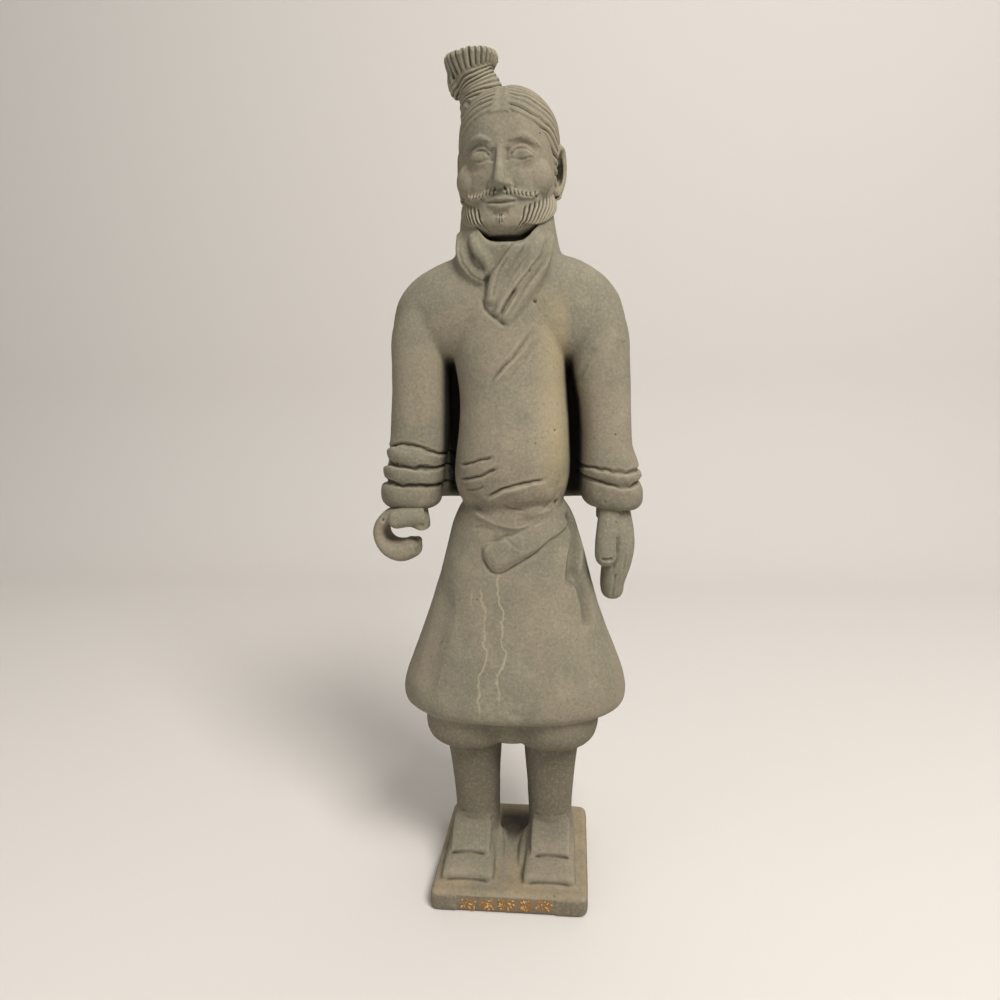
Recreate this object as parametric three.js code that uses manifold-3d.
import * as THREE from 'three';
import Module from 'manifold-3d';

// A small clay figure of a standing warrior on its plinth. Millimetres, +Z up, the face looks along -Y.
// The origin is the middle of the plinth's underside.

const wasm = await Module();
wasm.setup();

// Driving dimensions
const plinthWidth = 47.4;
const plinthDepth = 50;
const plinthHeight = 6.4;
const plinthCorner = 2.2;
const hemHeight = 57.3;
const hemWidth = 69.4;
const hemDepth = 43.8;
const waistHeight = 121.5;
const waistWidth = 30.6;
const shoulderWidth = 68.6;
const shoulderHeight = 193;
const cuffHeight = 119.8;
const chinHeight = 196.5;
const headHeight = 41.2;
const headTurn = -4.5;
const headCentreX = 1.2;
const fitGap = 0.35;

// Looks of the fired clay
const clay = { color: 0x79766a, roughness: 0.9, metalness: 0 };

// ---------- shared helpers ----------

// Value of one column of a table of rows, smoothed between the rows that lie around the height.
function columnAt(rows, column, height) {
  const last = rows.length - 1;
  let low = 0;
  while (low < last - 1 && rows[low + 1][0] <= height) low += 1;
  const slopeAt = (row) => {
    const below = rows[Math.max(row - 1, 0)];
    const above = rows[Math.min(row + 1, last)];
    return (above[column] - below[column]) / (above[0] - below[0]);
  };
  const span = rows[low + 1][0] - rows[low][0];
  const t = THREE.MathUtils.clamp((height - rows[low][0]) / span, 0, 1);
  const start = rows[low][column] * (1 + 2 * t) * (1 - t) ** 2 + slopeAt(low) * span * t * (1 - t) ** 2;
  const end = rows[low + 1][column] * t * t * (3 - 2 * t) + slopeAt(low + 1) * span * t * t * (t - 1);
  return start + end;
}

// Rounded outline of half size 1: a circle for power 2, squarer for a higher power.
function outline(sides, power) {
  const bend = (value) => Math.sign(value) * Math.abs(value) ** (2 / power);
  return Array.from({ length: sides }, (_, side) => {
    const angle = (side / sides) * 2 * Math.PI;
    return [bend(Math.cos(angle)), bend(Math.sin(angle))];
  });
}

// Closed solid through a list of rings with the same number of points, capped by fans at both ends.
function skin(rings) {
  const sides = rings[0].length;
  const points = rings.flat();
  const triangles = [];
  for (let level = 0; level < rings.length - 1; level += 1) {
    for (let side = 0; side < sides; side += 1) {
      const a = level * sides + side;
      const b = level * sides + ((side + 1) % sides);
      triangles.push([a, b, b + sides], [a, b + sides, a + sides]);
    }
  }
  for (const [ring, first] of [[rings[0], 0], [rings.at(-1), (rings.length - 1) * sides]]) {
    const middle = new THREE.Vector3();
    ring.forEach((point) => middle.addScaledVector(point, 1 / sides));
    points.push(middle);
    for (let side = 0; side < sides; side += 1) {
      const edge = [first + side, first + ((side + 1) % sides)];
      triangles.push(first === 0 ? [edge[1], edge[0], points.length - 1] : [...edge, points.length - 1]);
    }
  }
  const volume = triangles.reduce((sum, [a, b, c]) => (
    sum + points[a].dot(new THREE.Vector3().crossVectors(points[b], points[c]))), 0);
  const turned = volume < 0 ? triangles.map(([a, b, c]) => [a, c, b]) : triangles;
  return new wasm.Manifold(new wasm.Mesh({
    numProp: 3,
    vertProperties: new Float32Array(points.flatMap((point) => point.toArray())),
    triVerts: new Uint32Array(turned.flat()),
  }));
}

// Stack of level outlines. A row is height, centre x, centre y, half width, half depth.
function stack(rows, { sides, power = 2.3, grow = 0, slope = 0 }) {
  const unit = outline(sides, power);
  return skin(rows.map(([height, x, y, halfX, halfY]) => unit.map(([u, v]) => new THREE.Vector3(
    x + u * (halfX + grow),
    y + v * (halfY + grow),
    height + slope * u * halfX,
  ))));
}

// Front surface of a stack at a place seen from the front.
function surfaceY(rows, x, height, power = 2.3) {
  const [middleX, middleY, halfX, halfY] = [1, 2, 3, 4].map((column) => columnAt(rows, column, height));
  const reach = Math.min(Math.abs((x - middleX) / halfX), 0.98);
  return middleY - halfY * (1 - reach ** power) ** (1 / power);
}

// Full in the middle and narrow at both ends.
const spindle = (t) => 0.15 + 0.85 * Math.sin(Math.PI * t) ** 0.6;

// Bar along a smooth path. Its width lies across the path, its thickness along the face direction.
function bar(path, { width, thickness = width, face = [0, -1, 0], sides = 6, steps = 8, shape = spindle }) {
  const curve = new THREE.CatmullRomCurve3(path.map((point) => new THREE.Vector3(...point)));
  const unit = outline(sides, 2);
  const rings = Array.from({ length: steps + 1 }, (_, step) => {
    const t = step / steps;
    const centre = curve.getPoint(t);
    const along = curve.getTangent(t);
    const across = new THREE.Vector3().crossVectors(along, new THREE.Vector3(...face)).normalize();
    const out = new THREE.Vector3().crossVectors(across, along).normalize();
    return unit.map(([u, v]) => centre.clone()
      .addScaledVector(across, u * width * shape(t))
      .addScaledVector(out, v * thickness * shape(t)));
  });
  return skin(rings);
}

// Bar that follows the front of a stack. The path gives x and height only.
function frontBar(rows, path, options) {
  const lift = options.lift ?? 0;
  return bar(path.map(([x, height]) => [x, surfaceY(rows, x, height) - lift, height]), options);
}

// Slab with a polygon profile in the y-z plane, reaching to both sides along x.
function sideSlab(profile, halfWidth) {
  const shape = new THREE.Shape(profile.map(([y, z]) => new THREE.Vector2(y, z)));
  const points = shape.getPoints();
  const ring = (x) => points.map((point) => new THREE.Vector3(x, point.x, point.y));
  return skin([ring(-halfWidth), ring(halfWidth)]);
}

const ball = (centre, radii, sides = 14, levels = 8) => skin(
  Array.from({ length: levels - 1 }, (_, level) => {
    const tilt = ((level + 1) / levels) * Math.PI;
    return outline(sides, 2).map(([u, v]) => new THREE.Vector3(
      centre[0] + radii[0] * u * Math.sin(tilt),
      centre[1] + radii[1] * v * Math.sin(tilt),
      centre[2] - radii[2] * Math.cos(tilt),
    ));
  }),
);

const join = (pieces) => pieces.reduce((whole, piece) => whole.add(piece));

function part(name, solid, position = [0, 0, 0], turn = 0) {
  const { vertProperties, triVerts } = solid.getMesh();
  const geometry = new THREE.BufferGeometry();
  geometry.setAttribute('position', new THREE.BufferAttribute(new Float32Array(vertProperties), 3));
  geometry.setIndex(new THREE.BufferAttribute(new Uint32Array(triVerts), 1));
  geometry.computeVertexNormals();
  const mesh = new THREE.Mesh(geometry, new THREE.MeshStandardMaterial(clay));
  mesh.name = name;
  mesh.position.set(...position);
  mesh.rotation.z = THREE.MathUtils.degToRad(turn);
  return mesh;
}

// ---------- body: plinth, shoes, legs, trousers, robe, sleeves and collar in one ----------

function plinth() {
  const edge = (inset, height) => {
    const corners = [[1, 1], [-1, 1], [-1, -1], [1, -1]];
    return corners.flatMap(([signX, signY], corner) => [0, 1, 2].map((step) => {
      const angle = ((corner + step / 2) * Math.PI) / 2;
      const radius = plinthCorner;
      return new THREE.Vector3(
        signX * (plinthWidth / 2 - inset - radius) + radius * Math.cos(angle),
        signY * (plinthDepth / 2 - inset - radius) + radius * Math.sin(angle),
        height,
      );
    }));
  };
  return skin([edge(0.5, 0), edge(0, 0.7), edge(0, plinthHeight - 1.5), edge(1.3, plinthHeight)]);
}

function shoe(centreX) {
  const halfWidth = 7.9;
  const sole = plinthHeight - 1;
  const toeY = -20.3;
  const row = (y, top, half) => {
    const round = Math.min(1.4, (top - sole) / 3);
    const outer = [[-half, sole], [half, sole], [half, top - round]];
    const upper = [[half - round, top], [round - half, top], [-half, top - round]];
    return [...outer, ...upper].map(([x, z]) => new THREE.Vector3(centreX + x, y, z));
  };
  const vamp = skin([
    row(toeY, 8.4, halfWidth - 0.5),
    row(toeY + 0.5, 9.6, halfWidth),
    row(toeY + 4, 10.6, halfWidth),
    row(-11.5, 11.6, halfWidth - 0.2),
    row(2, 15.5, halfWidth - 0.5),
    row(11.5, 15, halfWidth - 0.9),
    row(13.5, 13, halfWidth - 2.4),
  ]);
  const instep = skin([[-12.6, 12.7], [-4.5, 20], [1, 21]].map(([y, top]) => {
    const corners = [[-6.4, sole], [6.4, sole], [5.9, top], [-5.9, top]];
    return corners.map(([x, z]) => new THREE.Vector3(centreX + x, y, z));
  }));
  const toeShade = bar([[centreX - 8, toeY, 7.3], [centreX, toeY, 7.3], [centreX + 8, toeY, 7.3]], {
    width: 0.8, shape: () => 1, steps: 1,
  });
  return vamp.add(instep).subtract(toeShade);
}

function leg(side) {
  const rows = [
    [plinthHeight + 2, 11.9 * side, 2.5, 7, 8.6],
    [19, 11.8 * side, 1.6, 7, 8.2],
    [30, 11.9 * side, 1, 7.5, 8.4],
    [41, 12.1 * side, 0.8, 8.4, 9.4],
    [50, 12.6 * side, 0.8, 9.5, 11],
  ];
  return stack(rows, { sides: 12 });
}

function trouserLeg(side) {
  const rows = [
    [45, 12.8 * side, 0, 8.6, 10.6],
    [45.9, 12.9 * side, 0, 11, 13.4],
    [48.2, 13.2 * side, 0, 12.9, 15.6],
    [52, 13.5 * side, 0, 13.6, 16.4],
    [61, 13 * side, 0, 13.4, 16.4],
  ];
  return stack(rows, { sides: 12 });
}

const skirtRows = [
  [hemHeight, 0.7, 0, hemWidth / 2 - 3.4, hemDepth / 2 - 2.2],
  [hemHeight + 1.9, 0.7, 0, hemWidth / 2 - 0.9, hemDepth / 2 - 0.5],
  [hemHeight + 4.5, 0.7, 0, hemWidth / 2, hemDepth / 2],
  [66, 0.8, 0, 34.3, 21.8],
  [73, 0.95, 0, 31.9, 20.8],
  [81, 0.95, 0, 28.8, 19.4],
  [90, 1, -0.1, 25.6, 18],
  [102, 1.3, -0.2, 22.1, 16.6],
  [114, 1.3, -0.3, 18.9, 15.8],
  [119, 1.3, -0.3, 16.9, 15.5],
  [waistHeight, 1.2, -0.4, waistWidth / 2, 14.4],
];

const torsoRows = [
  [waistHeight - 3, 1.2, -0.5, waistWidth / 2 - 1.4, 13],
  [waistHeight, 1.2, -0.5, waistWidth / 2 - 0.4, 14.6],
  [124, 1.1, -1, 16, 16.6],
  [129, 1.1, -1.3, 17, 17.8],
  [135, 1.4, -1.3, 17, 17.6],
  [147, 1.8, -0.8, 16.2, 16.2],
  [156, 1.4, -0.3, 16, 15.5],
  [166, 0.6, 0.1, 16.8, 15],
  [178, 0.3, 0.4, 17, 14.4],
  [188, 0.3, 0.8, 15.8, 13],
];

const shoulderRows = [
  [163, 0.4, 2, 29, 5.5],
  [166.5, 0.4, 1, 33, 10.2],
  [172, 0.3, 0.6, shoulderWidth / 2, 12.6],
  [177.5, 0.1, 0.5, shoulderWidth / 2 - 0.9, 13.4],
  [182, 0.2, 0.6, 31.7, 13.2],
  [186.3, 0.4, 0.8, 28.1, 12.6],
  [189.5, 0.8, 1, 23.2, 11.8],
  [191.8, 1.2, 1.2, 18, 10.6],
  [shoulderHeight, 1.2, 1.4, 13, 9],
];

// Sleeves: the viewer's left one has three rolls at its cuff, the other one a wide fold and two rolls.
const sleeveRows = {
  left: [
    [138.5, -27.2, 0, 8.8, 9.9],
    [160, -26, 0.2, 8.6, 10.3],
    [172, -25.4, 0.4, 8.6, 10.6],
    [182, -23, 0.6, 7, 9],
  ],
  right: [
    [138.5, 28.9, 0, 7.7, 9.7],
    [149, 28.4, 0, 7.7, 9.8],
    [160, 27.2, 0.2, 8.6, 10.3],
    [172, 26, 0.4, 8.9, 10.6],
    [182, 23.5, 0.6, 7.4, 9],
  ],
};

// A cuff roll is full in the middle and pinched at both ends. A wide fold only swells at its lower edge.
const rollSection = [[0, 1.4], [0.22, 0.25], [0.78, 0.2], [1, 1.4]];
const foldSection = [[0, 0.9], [0.2, 0.2], [0.55, 1.2], [1, 2.2]];

function roll({ span, middle: [centreX, centreY], half: [halfX, halfY], slope, section = rollSection }, grow = 0) {
  const [low, high] = span;
  const rows = section.map(([share, inset]) => (
    [low + (high - low) * share, centreX, centreY, halfX - inset, halfY - inset]));
  return stack(rows, { sides: 12, slope, grow });
}

const cuffRolls = {
  left: [
    { span: [132.6, 137.8], middle: [-28.2, 0], half: [8.9, 10.6], slope: -0.17 },
    { span: [127.1, 133], middle: [-29.1, 0], half: [9.2, 11], slope: -0.1 },
    { span: [cuffHeight, 127.6], middle: [-30.2, 0], half: [9.1, 11.2], slope: -0.05 },
  ],
  right: [
    { span: [131.4, 140], middle: [29.7, 0], half: [8.9, 10.5], slope: -0.08, section: foldSection },
    { span: [127.7, 131.9], middle: [30.4, 0], half: [9.3, 11], slope: -0.12 },
    { span: [cuffHeight, 128.3], middle: [30.7, 0], half: [9.3, 11.2], slope: -0.1 },
  ],
};

const cuffMiddle = { left: cuffRolls.left[2].middle[0], right: cuffRolls.right[2].middle[0] };

function sleeve(side) {
  return join([stack(sleeveRows[side], { sides: 12 }), ...cuffRolls[side].map((one) => roll(one))]);
}

// The clay between the arms and the back, which closes the arm gaps from behind.
const webRows = [
  [cuffHeight + 1.5, 0.8, 6.4, 27, 3.4],
  [cuffHeight + 3.5, 0.8, 6.2, 28, 4.4],
  [150, 0.8, 6.2, 28, 5],
  [175, 0.5, 5, 28, 5.5],
];

// Collar: a thick wound scarf round the neck, low in front and high behind.
const collarRows = [
  [186, 0.5, 0.6, 18.5, 14.4],
  [190, 0.6, 0.2, 16.6, 14.6],
  [194, 0.7, -0.2, 14.8, 15],
  [198, 0.6, 0.3, 14, 14.6],
  [202, 0.5, 0.8, 13.5, 14],
  [206, 0.4, 1.2, 13.2, 13.6],
];

function collar() {
  const rimLine = [[-30, 191], [-15, 194], [-8, 197.4], [0, 202.2], [6, 204.2], [30, 205.4]];
  const rim = sideSlab([...rimLine, [30, 230], [-30, 230]], 25);
  return stack(collarRows, { sides: 16 }).subtract(rim);
}

// Bands of the wound scarf. Each is a path of x and height over the chest, with its half width.
const scarfBands = [
  { path: [[-11.6, 198.6], [-11, 191.5], [-7.5, 186.6], [-4.4, 184]], width: 2.3, lift: 0.2 },
  { path: [[-8, 196], [-6, 192], [-3.4, 189], [-4.2, 185]], width: 1.6, lift: 0.4 },
  { path: [[12.2, 198.6], [9.5, 189], [4.2, 180.5], [0.8, 173.8]], width: 2.9, lift: 0.3 },
  { path: [[9, 196], [4.5, 189.5], [0.2, 182.5], [-2.2, 176]], width: 2.4, lift: 0.8 },
  { path: [[3.5, 193.6], [0.5, 189.5], [-2.6, 184.5], [-3.6, 179.5]], width: 1.9, lift: 0.6 },
];

// Grooves and folds of the robe seen from the front: path of x and height, with radius.
const robeGrooves = [
  { path: [[7.8, 170.6], [2.4, 164.2], [-3.2, 156.3]], width: 1 },
  { path: [[10.5, 168], [5, 160.2], [-0.5, 155.7]], width: 0.9 },
  { path: [[-13.5, 133.2], [-8, 134.8], [-3, 137.2]], width: 0.9 },
  { path: [[-13.5, 129.5], [-7, 131.2], [-0.8, 134.4]], width: 0.9 },
  { path: [[-12.2, 126.8], [-9, 127.2], [-6, 129]], width: 0.85 },
  { path: [[-4.5, 125], [3, 129.4], [9, 130.6], [14, 130.4]], width: 1.1 },
];

function scarf() {
  const front = [...torsoRows.slice(0, -2), ...collarRows.slice(0, -2)];
  const shape = (t) => 0.6 + 0.4 * Math.sin(Math.PI * t);
  return join(scarfBands.map(({ path, width, lift }) => (
    frontBar(front, path, { width, thickness: 1.5, lift, sides: 5, steps: 4, shape }))));
}

// The belt's loose end: a flat strap laid slantwise under the belly.
function beltStrap() {
  const path = [[-4.4, 106.8], [2.5, 110.6], [9.5, 114.6], [16, 118.6]];
  return frontBar(skirtRows, path, { width: 3.3, thickness: 1.25, sides: 6, steps: 3, shape: () => 1 });
}

function body() {
  const legs = [-1, 1].flatMap((side) => [leg(side), trouserLeg(side)]);
  const robe = join([
    stack(skirtRows, { sides: 20 }),
    stack(torsoRows, { sides: 18 }),
    stack(shoulderRows, { sides: 14 }),
    stack(webRows, { sides: 8, power: 4 }),
    sleeve('left'),
    sleeve('right'),
    collar(),
  ]);
  const grooves = robeGrooves.map(({ path, width }) => (
    frontBar(torsoRows, path, { width, lift: -0.25, steps: 3, sides: 4 })));
  const carved = join([robe, scarf(), beltStrap()]).subtract(join(grooves));
  const pleat = bar([[18.6, -9, 119], [20.4, -10, 104], [23.5, -12, 90], [26, -14.6, 78]], {
    width: 1.7, thickness: 3.4, face: [0.5, -1, 0], steps: 6,
  });
  return join([plinth(), shoe(-12.9), shoe(12.1), ...legs, carved.subtract(pleat)])
    .subtract(headRoom())
    .subtract(handSocket(cuffMiddle.left))
    .subtract(handSocket(cuffMiddle.right));
}

// ---------- head, built round its own neck axis with the chin at height 0 ----------

const skullRows = [
  [0, 0, -9.8, 4.6, 3.6],
  [2, 0, -8.6, 8, 6.8],
  [4.6, 0, -6.8, 9.8, 9.2],
  [8, 0, -3.6, 11.4, 12.2],
  [13, 0, -0.6, 12.8, 15.2],
  [20, 0, 0.9, 13.6, 16.9],
  [27, 0, 1.5, 13.8, 17.4],
  [32.6, 0, 1.8, 12.9, 16.2],
  [37, 0, 2, 10, 13.2],
  [39.8, 0, 2.3, 6.4, 8.8],
  [headHeight, 0, 2.6, 2.4, 3.4],
];

const neckRows = [
  [-11, 0, 2, 8.2, 8.6],
  [-4, 0, 1.8, 8.4, 8.8],
  [4, 0, 1.8, 9, 9.6],
  [9, 0, 1.8, 9.6, 10.5],
];

const facePower = 2.2;
const onFace = (x, height, lift = 0) => [x, surfaceY(skullRows, x, height, facePower) - lift, height];
const mirrored = (make) => [-1, 1].map(make);

function ear(side) {
  const rim = ball([14.2 * side, 3.4, 18.4], [1.9, 4, 7.2], 8, 6);
  const hollow = ball([16.1 * side, 2.2, 20], [1.3, 2, 3.2], 8, 4);
  return rim.subtract(hollow);
}

function face() {
  const nose = stack([
    [12.1, 0, -15, 1.6, 2.6],
    [13, 0, -15.4, 3.3, 3.9],
    [15, 0, -15.2, 2.5, 3.7],
    [19, 0, -14.9, 1.7, 2.7],
    [23, 0, -14.4, 1.6, 1.9],
  ], { sides: 8 });
  const lips = [[8.9, 5], [7.1, 4.2]].map(([height, half]) => (
    bar([onFace(-half, height), onFace(0, height - 0.2, 0.3), onFace(half, height)], {
      width: 0.95, thickness: 1, sides: 5, steps: 4,
    })));
  const sides = mirrored((side) => join([
    bar([onFace(2.6 * side, 24.1), onFace(6.4 * side, 25.6, 0.1), onFace(10.4 * side, 24)], {
      width: 0.9, sides: 4, steps: 4,
    }),
    bar([onFace(3.2 * side, 20.9), onFace(6.3 * side, 21.4, 0.2), onFace(9.6 * side, 21)], {
      width: 1.7, thickness: 1, sides: 6, steps: 4,
    }),
    bar([onFace(0.5 * side, 10.9, 0.2), onFace(4 * side, 11, 0.2), onFace(8.2 * side, 9.4, 0.1)], {
      width: 1, thickness: 0.9, sides: 5, steps: 4,
    }),
    ear(side),
  ]));
  const chin = ball([0, -12, 3], [4.6, 3.6, 2.9], 10, 4);
  const patch = bar([onFace(0, 5.6), onFace(0, 4), onFace(0, 2.2)], { width: 1, thickness: 0.8, steps: 3 });
  return join([nose, ...lips, ...sides, chin, patch]);
}

// Beard along the jaw: short locks side by side from the ear to beside the chin.
function beard() {
  const locks = 5;
  const { lerp } = THREE.MathUtils;
  const jaw = (column, height) => columnAt(skullRows, column, height);
  const onJaw = (side, turn, height, lift) => [
    side * (jaw(3, height) + lift) * Math.cos(turn),
    jaw(2, height) - (jaw(4, height) + lift) * Math.sin(turn),
    height,
  ];
  return join(mirrored((side) => join(Array.from({ length: locks }, (_, lock) => {
    const t = lock / (locks - 1);
    const turn = lerp(-0.12, 1.02, t);
    const [top, low] = [lerp(12.8, 6.4, t), lerp(6.4, 1.4, t ** 0.7)];
    const middle = (top + low) / 2;
    const path = [onJaw(side, turn, top, -0.2), onJaw(side, turn, middle, 0.8), onJaw(side, turn, low, 1.2)];
    return bar(path, { width: 1.5, thickness: 1.4, face: [side, -1, 0], sides: 4, steps: 2 });
  }))));
}

// Hair cap above the hairline, with combed locks that run from the parting round to the back.
function hair() {
  const cap = stack(skullRows.slice(3), { sides: 16, power: facePower, grow: 0.9 });
  const hairline = [[-1.4, -10], [-1.6, 17], [-5, 24.5], [-10, 30.5], [-16, 32.4], [-30, 32.4]];
  const faceOpening = sideSlab([[-30, -10], ...hairline], 30);
  const locksPerSide = 4;
  const locks = mirrored((side) => join(Array.from({ length: locksPerSide }, (_, lock) => {
    const start = THREE.MathUtils.degToRad(32 + 13.5 * lock);
    const end = THREE.MathUtils.degToRad(-16 + 21 * lock);
    const path = [0, 0.25, 0.5, 0.75, 1].map((t) => {
      const rise = THREE.MathUtils.lerp(start, end, t ** 1.4);
      const turn = side * THREE.MathUtils.lerp(0.06, 2.5, t);
      const level = Math.cos(rise);
      return [14.4 * level * Math.sin(turn), 1.5 - 17.9 * level * Math.cos(turn), 21.6 + 20.3 * Math.sin(rise)];
    });
    const shape = (t) => 0.4 + 0.6 * spindle(t);
    return bar(path, { width: 1.7, thickness: 1.1, face: [0, 0, 1], sides: 4, steps: 4, shape });
  })));
  return join([cap.subtract(faceOpening), ...locks]);
}

// Topknot: a thick wound tail that leans to the viewer's left and ends in a flared brush.
function topknot() {
  const windings = 3;
  const knot = bar([[-7.4, 2.2, 35], [-8.2, 1.8, 41], [-10.4, 1.4, 46.5], [-11, 1.2, 51.9]], {
    width: 1,
    sides: 12,
    steps: 8,
    shape: (t) => {
      const winding = 0.5 * Math.abs(Math.sin(Math.PI * windings * Math.min(t / 0.72, 1)));
      const flare = 0.9 * THREE.MathUtils.smoothstep(t, 0.5, 0.9);
      return 6.5 + winding + flare - 1.2 * Math.max(t - 0.92, 0) / 0.08;
    },
  });
  const tail = ball([-15.2, 1.6, 45.6], [3, 4.4, 5.4], 8, 5);
  return knot.add(tail);
}

function headSolid() {
  return join([
    stack(skullRows, { sides: 16, power: facePower }),
    stack(neckRows, { sides: 12 }),
    face(),
    beard(),
    hair(),
    topknot(),
  ]);
}

const headPlace = [headCentreX, 0, chinHeight];

// Space that the chin, beard and neck need inside the collar.
const basinRows = [
  [-11 - fitGap, 0, 2, 8.8, 9.2],
  [-4.5, 0, 1.9, 9.3, 10],
  [-2, 0, -0.6, 10.6, 12.6],
  [2.5, 0, -1.4, 12, 13.6],
  [7, 0, -1, 13, 15],
  [13, 0, 0, 15.5, 17],
];
const headRoom = () => stack(basinRows, { sides: 11 }).rotate([0, 0, headTurn]).translate(headPlace);

// ---------- hands, each with a wrist pushed up into its sleeve ----------

const wristRadius = [4.6, 4.8];
const wristTop = cuffHeight + 5;

const wrist = (centreX, grow, top) => stack([
  [cuffHeight - 3.5, centreX, -0.5, wristRadius[0] + grow, wristRadius[1] + grow],
  [top, centreX, -0.5, wristRadius[0] + grow, wristRadius[1] + grow],
], { sides: 10, power: 2 });

const handSocket = (centreX) => wrist(centreX, fitGap, wristTop + fitGap);

// A hand is cut back clear of the last cuff roll, then its wrist goes on into the sleeve.
function fitted(hand, side) {
  const cuff = roll(cuffRolls[side][2], fitGap).translate([0, 0, -fitGap]);
  return hand.subtract(cuff).add(wrist(cuffMiddle[side], 0, wristTop));
}

// The grip: a thick strip of fingers curled round a hole that runs front to back, closed by the thumb.
const gripMiddle = [-32.7, 112.9];
const gripRadius = 5.7;
const gripFront = -11.5;
const gripBack = 1.5;

function rightHand() {
  const steps = 11;
  const strip = skin(Array.from({ length: steps + 1 }, (_, step) => {
    const t = step / steps;
    const angle = THREE.MathUtils.degToRad(THREE.MathUtils.lerp(62, 322, t));
    const swell = 1.2 * THREE.MathUtils.smoothstep(t, 0.5, 0.8) - 1.3 * THREE.MathUtils.smoothstep(t, 0.93, 1);
    const thick = 1.9 + swell;
    const radius = gripRadius + 0.25 * swell;
    return outline(10, 3.2).map(([u, v]) => new THREE.Vector3(
      gripMiddle[0] + (radius * 1.06 + u * thick) * Math.cos(angle),
      (gripFront + gripBack) / 2 + (v * (gripBack - gripFront)) / 2,
      gripMiddle[1] + (radius + u * thick) * Math.sin(angle),
    ));
  }));
  const palm = stack([
    [113.6, -25.6, -5, 1.5, 4.6],
    [116, -28.4, -4.6, 4.2, 6],
    [118.6, -30, -3.6, 5.2, 6.4],
    [121, -30.2, -2, 5, 5.4],
  ], { sides: 10 });
  const thumb = bar([[-26.8, -8, 117.8], [-30.4, -9.8, 117.8], [-34.9, -11, 117.2]], {
    width: 2.7, thickness: 2.6, sides: 8, steps: 4, shape: (t) => 1 - 0.7 * Math.max(t - 0.8, 0) / 0.2,
  });
  const holeOutline = [[-37.4, 113.2], [-35.4, 110.9], [-20, 110.4], [-20, 115.2], [-35.4, 115.5]];
  const hole = skin([-30, 20].map((y) => holeOutline.map(([x, z]) => new THREE.Vector3(x, y, z))));
  return fitted(join([strip, palm, thumb]).subtract(hole), 'left');
}

// The open hand: fingers laid together with the thumb in front of them.
function leftHand() {
  const fingers = stack([
    [92.2, 31, -2.5, 1.7, 3.2],
    [93.4, 31, -2.6, 3, 4.8],
    [97, 31, -2.8, 3.6, 5.8],
    [103, 32.2, -3, 4.4, 6.4],
    [109, 32.8, -3, 4.7, 6.6],
    [115, 32, -2.4, 5, 6.2],
    [120.6, 31, -1, 4.8, 5.2],
  ], { sides: 12, power: 2.5 });
  const thumb = bar([[30.6, -6, 120], [28.7, -8.6, 113], [28.2, -9.6, 108], [28.9, -9.6, 103.6]], {
    width: 2.8, thickness: 2.7, sides: 8, steps: 4, shape: (t) => 1 - 0.7 * Math.max(t - 0.84, 0) / 0.16,
  });
  return fitted(join([fingers, thumb]), 'right');
}

// ---------- the statue ----------

const statue = new THREE.Group();
statue.add(part('body', body()));
statue.add(part('head', headSolid(), headPlace, headTurn));
statue.add(part('right_hand', rightHand()));
statue.add(part('left_hand', leftHand()));

export default statue;
